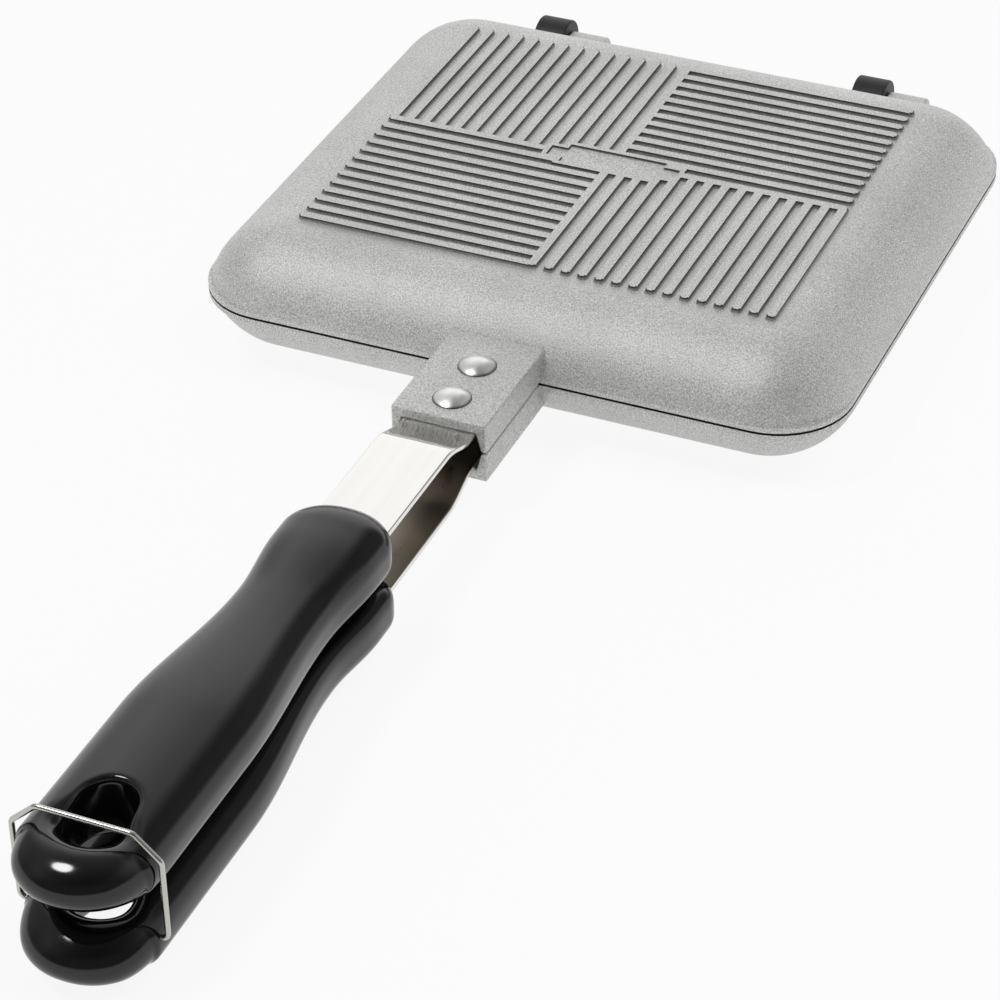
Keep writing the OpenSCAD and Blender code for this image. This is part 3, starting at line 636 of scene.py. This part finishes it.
def black_coating():
    """Black non-stick coating, sprayed and baked: satin, with a fine grain and a dusty bloom."""
    made, tree, shader, place = surface("baked_non_stick_coating", {"IOR": 1.38})
    grain = node(tree, "TexNoise", {"Scale": per_mm(0.5), "Detail": 3.0}, {"Vector": place})
    tone = node(tree, "Mix", {COLOUR_A: linear("#161617"), COLOUR_B: linear("#3A3A3C")},
                {0: grain.outputs[0]}, data_type="RGBA")
    rough = node(tree, "MapRange", {"To Min": 0.38, "To Max": 0.6}, {"Value": grain.outputs[0]})
    skin = node(tree, "Bump", {"Strength": 0.4, "Distance": 0.05 * MM},
                {"Height": grain.outputs[0]})
    tree.links.new(tone.outputs[COLOUR], shader.inputs["Base Color"])
    tree.links.new(rough.outputs[0], shader.inputs["Roughness"])
    tree.links.new(skin.outputs[0], shader.inputs["Normal"])
    return made


def polished_metal(name, low, high, rough, streak, painted_shade_at=None):
    """Polished or drawn metal: faint streaks along y, streak mm wide, vary its colour and gloss.
    Given a height, a painted shade darkens a narrow band about it, where the piece stands on
    another."""
    made, tree, shader, place = surface(name, {"Metallic": 1.0})
    along = node(tree, "Mapping", {"Scale": (1.0, 0.03, 1.0)}, {"Vector": place})
    lines = node(tree, "TexNoise", {"Scale": per_mm(streak), "Detail": 3.0},
                 {"Vector": along.outputs[0]})
    tone = node(tree, "Mix", {COLOUR_A: linear(low), COLOUR_B: linear(high)},
                {0: lines.outputs[0]}, data_type="RGBA")
    if painted_shade_at is not None:
        # Painted shade: a narrow band about the given height is mixed towards dark grey, for the
        # shadow at the rim where the piece meets the one under it
        level = above_parting(tree, place)
        over = node(tree, "MapRange", {"From Min": (painted_shade_at + 0.15) * MM,
                                       "From Max": (painted_shade_at + 0.5) * MM,
                                       "To Min": 0.85, "To Max": 0.0}, {"Value": level})
        under = node(tree, "MapRange", {"From Min": (painted_shade_at - 0.5) * MM,
                                        "From Max": (painted_shade_at - 0.2) * MM}, {"Value": level})
        band = node(tree, "Math", {}, {0: over.outputs[0], 1: under.outputs[0]},
                    operation="MULTIPLY")
        tone = node(tree, "Mix", {COLOUR_B: linear("#3C3B36")},
                    {0: band.outputs[0], COLOUR_A: tone.outputs[COLOUR]}, data_type="RGBA")
    gloss = node(tree, "MapRange", {"From Min": 0.3, "From Max": 0.7,
                                    "To Min": rough * 0.7, "To Max": rough * 1.4},
                 {"Value": lines.outputs[0]})
    tree.links.new(tone.outputs[COLOUR], shader.inputs["Base Color"])
    tree.links.new(gloss.outputs[0], shader.inputs["Roughness"])
    return made


def black_phenolic():
    """Black phenolic resin, pressed in a polished mould: deep black and glossy, with a very slight
    waviness and a few finger marks."""
    made, tree, shader, place = surface("moulded_black_phenolic", {"IOR": 1.5})
    marks = node(tree, "TexNoise", {"Scale": per_mm(9), "Detail": 4.0}, {"Vector": place})
    dust = node(tree, "TexNoise", {"Scale": per_mm(0.7), "Detail": 2.0}, {"Vector": place})
    tone = node(tree, "Mix", {COLOUR_A: linear("#070708"), COLOUR_B: linear("#111113")},
                {0: dust.outputs[0]}, data_type="RGBA")
    rough = node(tree, "MapRange", {"From Min": 0.35, "From Max": 0.7,
                                    "To Min": 0.07, "To Max": 0.14}, {"Value": marks.outputs[0]})
    skin = node(tree, "Bump", {"Strength": 0.12, "Distance": 0.06 * MM},
                {"Height": marks.outputs[0]})
    tree.links.new(tone.outputs[COLOUR], shader.inputs["Base Color"])
    tree.links.new(rough.outputs[0], shader.inputs["Roughness"])
    tree.links.new(skin.outputs[0], shader.inputs["Normal"])
    return made


def white_paper():
    """Matt white paper. The camera, glass and mirrors see nine tenths of it as plain white, and
    its own shade, with the object's shadow, in the last tenth."""
    made = bpy.data.materials.new("white_paper")
    made.use_nodes = True
    tree = made.node_tree
    tree.nodes.clear()
    path = node(tree, "LightPath")
    clear = node(tree, "Math", {}, {0: path.outputs["Is Camera Ray"],
                                    1: path.outputs["Is Transmission Ray"]}, operation="MAXIMUM")
    seen = node(tree, "Math", {}, {0: clear.outputs[0], 1: path.outputs["Is Glossy Ray"]},
                operation="MAXIMUM")
    part = node(tree, "Math", {1: 0.9}, {0: seen.outputs[0]}, operation="MULTIPLY")
    matt = node(tree, "BsdfDiffuse", {"Color": linear("#E6E6E6")})
    glow = node(tree, "Emission", {"Color": (1, 1, 1, 1), "Strength": 1.0})
    mixed = node(tree, "MixShader",
                 feeds={0: part.outputs[0], 1: matt.outputs[0], 2: glow.outputs[0]})
    node(tree, "OutputMaterial", feeds={"Surface": mixed.outputs[0]})
    return made


paint, coating, phenolic = silver_lacquer(), black_coating(), black_phenolic()
# Stainless strip, buffed bright: close to a mirror, with faint lines along it
stainless = polished_metal("polished_stainless", "#DFDEDB", "#E9E8E6", 0.06, 1.6)
# The strip's other face, as it left the rolls, with a broad, soft shine; its greyer, warmer colour
# is a painted reflection of the shade between the two halves
rolled_face_painted_reflection = polished_metal("rolled_stainless_painted_reflection", "#9A948A", "#BBB5AB", 0.3, 3.0)
# Aluminium rivet, headed cold: nearly white and satin, with a painted shade where its rim meets
# the lug
rivet_metal = polished_metal("bright_aluminium", "#E9E9E6", "#F7F7F5", 0.34, 2.5, painted_shade_at=LUG_H)
# Steel spring wire, drawn through a die: grey, with fine lines and a soft shine
spring_wire = polished_metal("drawn_spring_wire", "#A9A9A3", "#D2D2CD", 0.26, 0.3)
# Zinc-plated steel of the pins and screws: a duller, even grey
plain_steel = polished_metal("plated_steel", "#8E8E8C", "#B4B4B1", 0.34, 0.4)

# ---- The pieces ------------------------------------------------------------------

pan, lug, strap, wire = pan_shell(), lug_shell(), strap_shell(), wire_shell()
rivets = [rivet_shell(y) for y in RIVETS_Y]
# The grip's lattice goes a little past its nose, its end, its mating face and its sides
grip = level_surface(grip_level, (-16, END_Y - 1.5, GRIP_Z - 1.5),
                     (16, NOSE_Y + 1.5, GRIP_Z + 16), step=0.55)
eyes, tabs = [], []
for x in (-HINGE_OFFSET, HINGE_OFFSET):
    left, right = x - HINGE_GAP / 2, x + HINGE_GAP / 2
    eyes.append(knuckle_shell(left - EYE_W, left, EYE_R, -EYE_R, -LAND_Z,
                              bore=PIN_R + PIN_CLEARANCE, finish=1))
    tabs.append(knuckle_shell(right, right + TAB_W, TAB_R, LAND_Z, TAB_R, bore=0, finish=0))

for half, turn in (("upper", lambda shell: shell), ("lower", flipped)):
    body = half + "_half"
    piece(half + "_pan", [turn(pan)] + (tabs if half == "upper" else eyes), [paint, coating], body,
          [half + "_plate"])
    piece(half + "_lug", [turn(lug)], [paint], body, [], bevel=LUG_EDGE)
    piece(half + "_handle_strap", [turn(strap)], [stainless, rolled_face_painted_reflection], body,
          [half + "_strap"])
    piece(half + "_domed_rivets", [turn(one) for one in rivets], [rivet_metal], body,
          [half + "_rivets"])
    piece(half + "_moulded_grip", [turn(grip)], [phenolic], body,
          [half + "_grip"], smooth=1.2)
piece("bail_wire", [wire], [spring_wire], "bail", ["wire_bail"])

for name in ("left_hinge_pin", "right_hinge_pin", "lower_grip_screws", "upper_grip_screws"):
    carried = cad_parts[name].data.materials
    carried.clear()
    carried.append(plain_steel)

# ---- Camera, floor and light -----------------------------------------------------

scene = bpy.context.scene
scene.view_settings.view_transform = "Standard"

eye = bpy.data.objects.new("camera", bpy.data.cameras.new("camera"))
eye.data.sensor_width, eye.data.lens = SENSOR, FOCAL_PIXELS / IMAGE_W * SENSOR
axes = np.array([CAMERA_RIGHT, -np.array(CAMERA_DOWN), -np.array(CAMERA_AHEAD)]).T
eye.matrix_world = Matrix.Translation(CAMERA_PLACE) @ Matrix(axes.tolist()).to_4x4()
scene.collection.objects.link(eye)
scene.camera = eye

floor_mesh = bpy.data.meshes.new("floor")
floor_mesh.from_pydata([(-3, -3, 0), (3, -3, 0), (3, 3, 0), (-3, 3, 0)], [], [(0, 1, 2, 3)])
floor_mesh.materials.append(white_paper())
floor = bpy.data.objects.new("floor", floor_mesh)
scene.collection.objects.link(floor)

world = bpy.data.worlds.new("studio")
scene.world = world
world.use_nodes = True
tree = world.node_tree
tree.nodes.clear()
way = node(tree, "TexCoord").outputs["Generated"]


def lobe(towards, low, high, dim, bright):
    """Goes smoothly from dim to bright as the cosine between the way looked and towards rises from
    low to high."""
    ahead = tuple(np.array(towards) / np.linalg.norm(towards))
    cosine = node(tree, "VectorMath", {1: ahead}, {0: way}, operation="DOT_PRODUCT")
    part = node(tree, "MapRange", {"From Min": low, "From Max": high,
                                   "To Min": dim, "To Max": bright},
                {"Value": cosine.outputs["Value"]}, interpolation_type="SMOOTHSTEP")
    return part.outputs[0]


# A tent that is bright at the back and dim on the camera's side, dim overhead, with a dim seam at
# the back on the right and a dim gap on the left. Mirrors see it white where it meets the floor.
tent = lobe((-0.35, 0.9, 0.25), -0.4, 0.75, 0.16, 1.2)
for dimmer in (lobe((0, 0, 1), 0.55, 0.95, 1.0, 0.3),
               lobe((0.40, 0.74, 0.54), 0.88, 0.98, 1.0, 0.2),
               lobe((-0.94, 0.13, 0.3), 0.72, 0.96, 1.0, 0.35)):
    tent = node(tree, "Math", {}, {0: tent, 1: dimmer}, operation="MULTIPLY").outputs[0]
near_floor = lobe((0, 0, -1), -0.22, -0.02, 0.0, 1.0)

room = node(tree, "Background", {"Color": (1, 1, 1, 1)}, {"Strength": tent})
white = node(tree, "Background", {"Color": (1, 1, 1, 1), "Strength": 1.0})
path = node(tree, "LightPath")
mirrored = node(tree, "Math", {}, {0: path.outputs["Is Glossy Ray"],
                                   1: path.outputs["Is Transmission Ray"]}, operation="MAXIMUM")
low_down = node(tree, "Math", {}, {0: mirrored.outputs[0], 1: near_floor}, operation="MULTIPLY")
seen = node(tree, "Math", {}, {0: path.outputs["Is Camera Ray"], 1: low_down.outputs[0]},
            operation="MAXIMUM")
mixed = node(tree, "MixShader",
             feeds={0: seen.outputs[0], 1: room.outputs[0], 2: white.outputs[0]})
node(tree, "OutputWorld", feeds={"Surface": mixed.outputs[0]})


MIDDLE = (0, -0.05, 0)


def softbox(name, place, size, power, mirrored=True):
    """Elliptical area lamp at place, in metres, that faces the iron's middle. Not mirrored, it
    only lifts the shadows."""
    lamp = bpy.data.objects.new(name, bpy.data.lights.new(name, "AREA"))
    lamp.data.shape, lamp.data.energy = "ELLIPSE", power
    lamp.data.size, lamp.data.size_y = size
    ahead = np.subtract(MIDDLE, place)
    ahead /= np.linalg.norm(ahead)
    right = np.cross(ahead, (0, 0, 1))
    right /= np.linalg.norm(right)
    turn = Matrix(np.array([right, np.cross(right, ahead), -ahead]).T.tolist()).to_4x4()
    lamp.matrix_world = Matrix.Translation(place) @ turn
    lamp.visible_glossy = mirrored
    scene.collection.objects.link(lamp)


softbox("key", (-0.45, -0.45, 1.15), (0.3, 0.3), 5)
softbox("right_fill", (0.75, 0.1, 1.15), (0.8, 0.8), 7, mirrored=False)
softbox("front_fill", (-0.4, -1.3, 0.3), (0.9, 0.5), 1.5, mirrored=False)
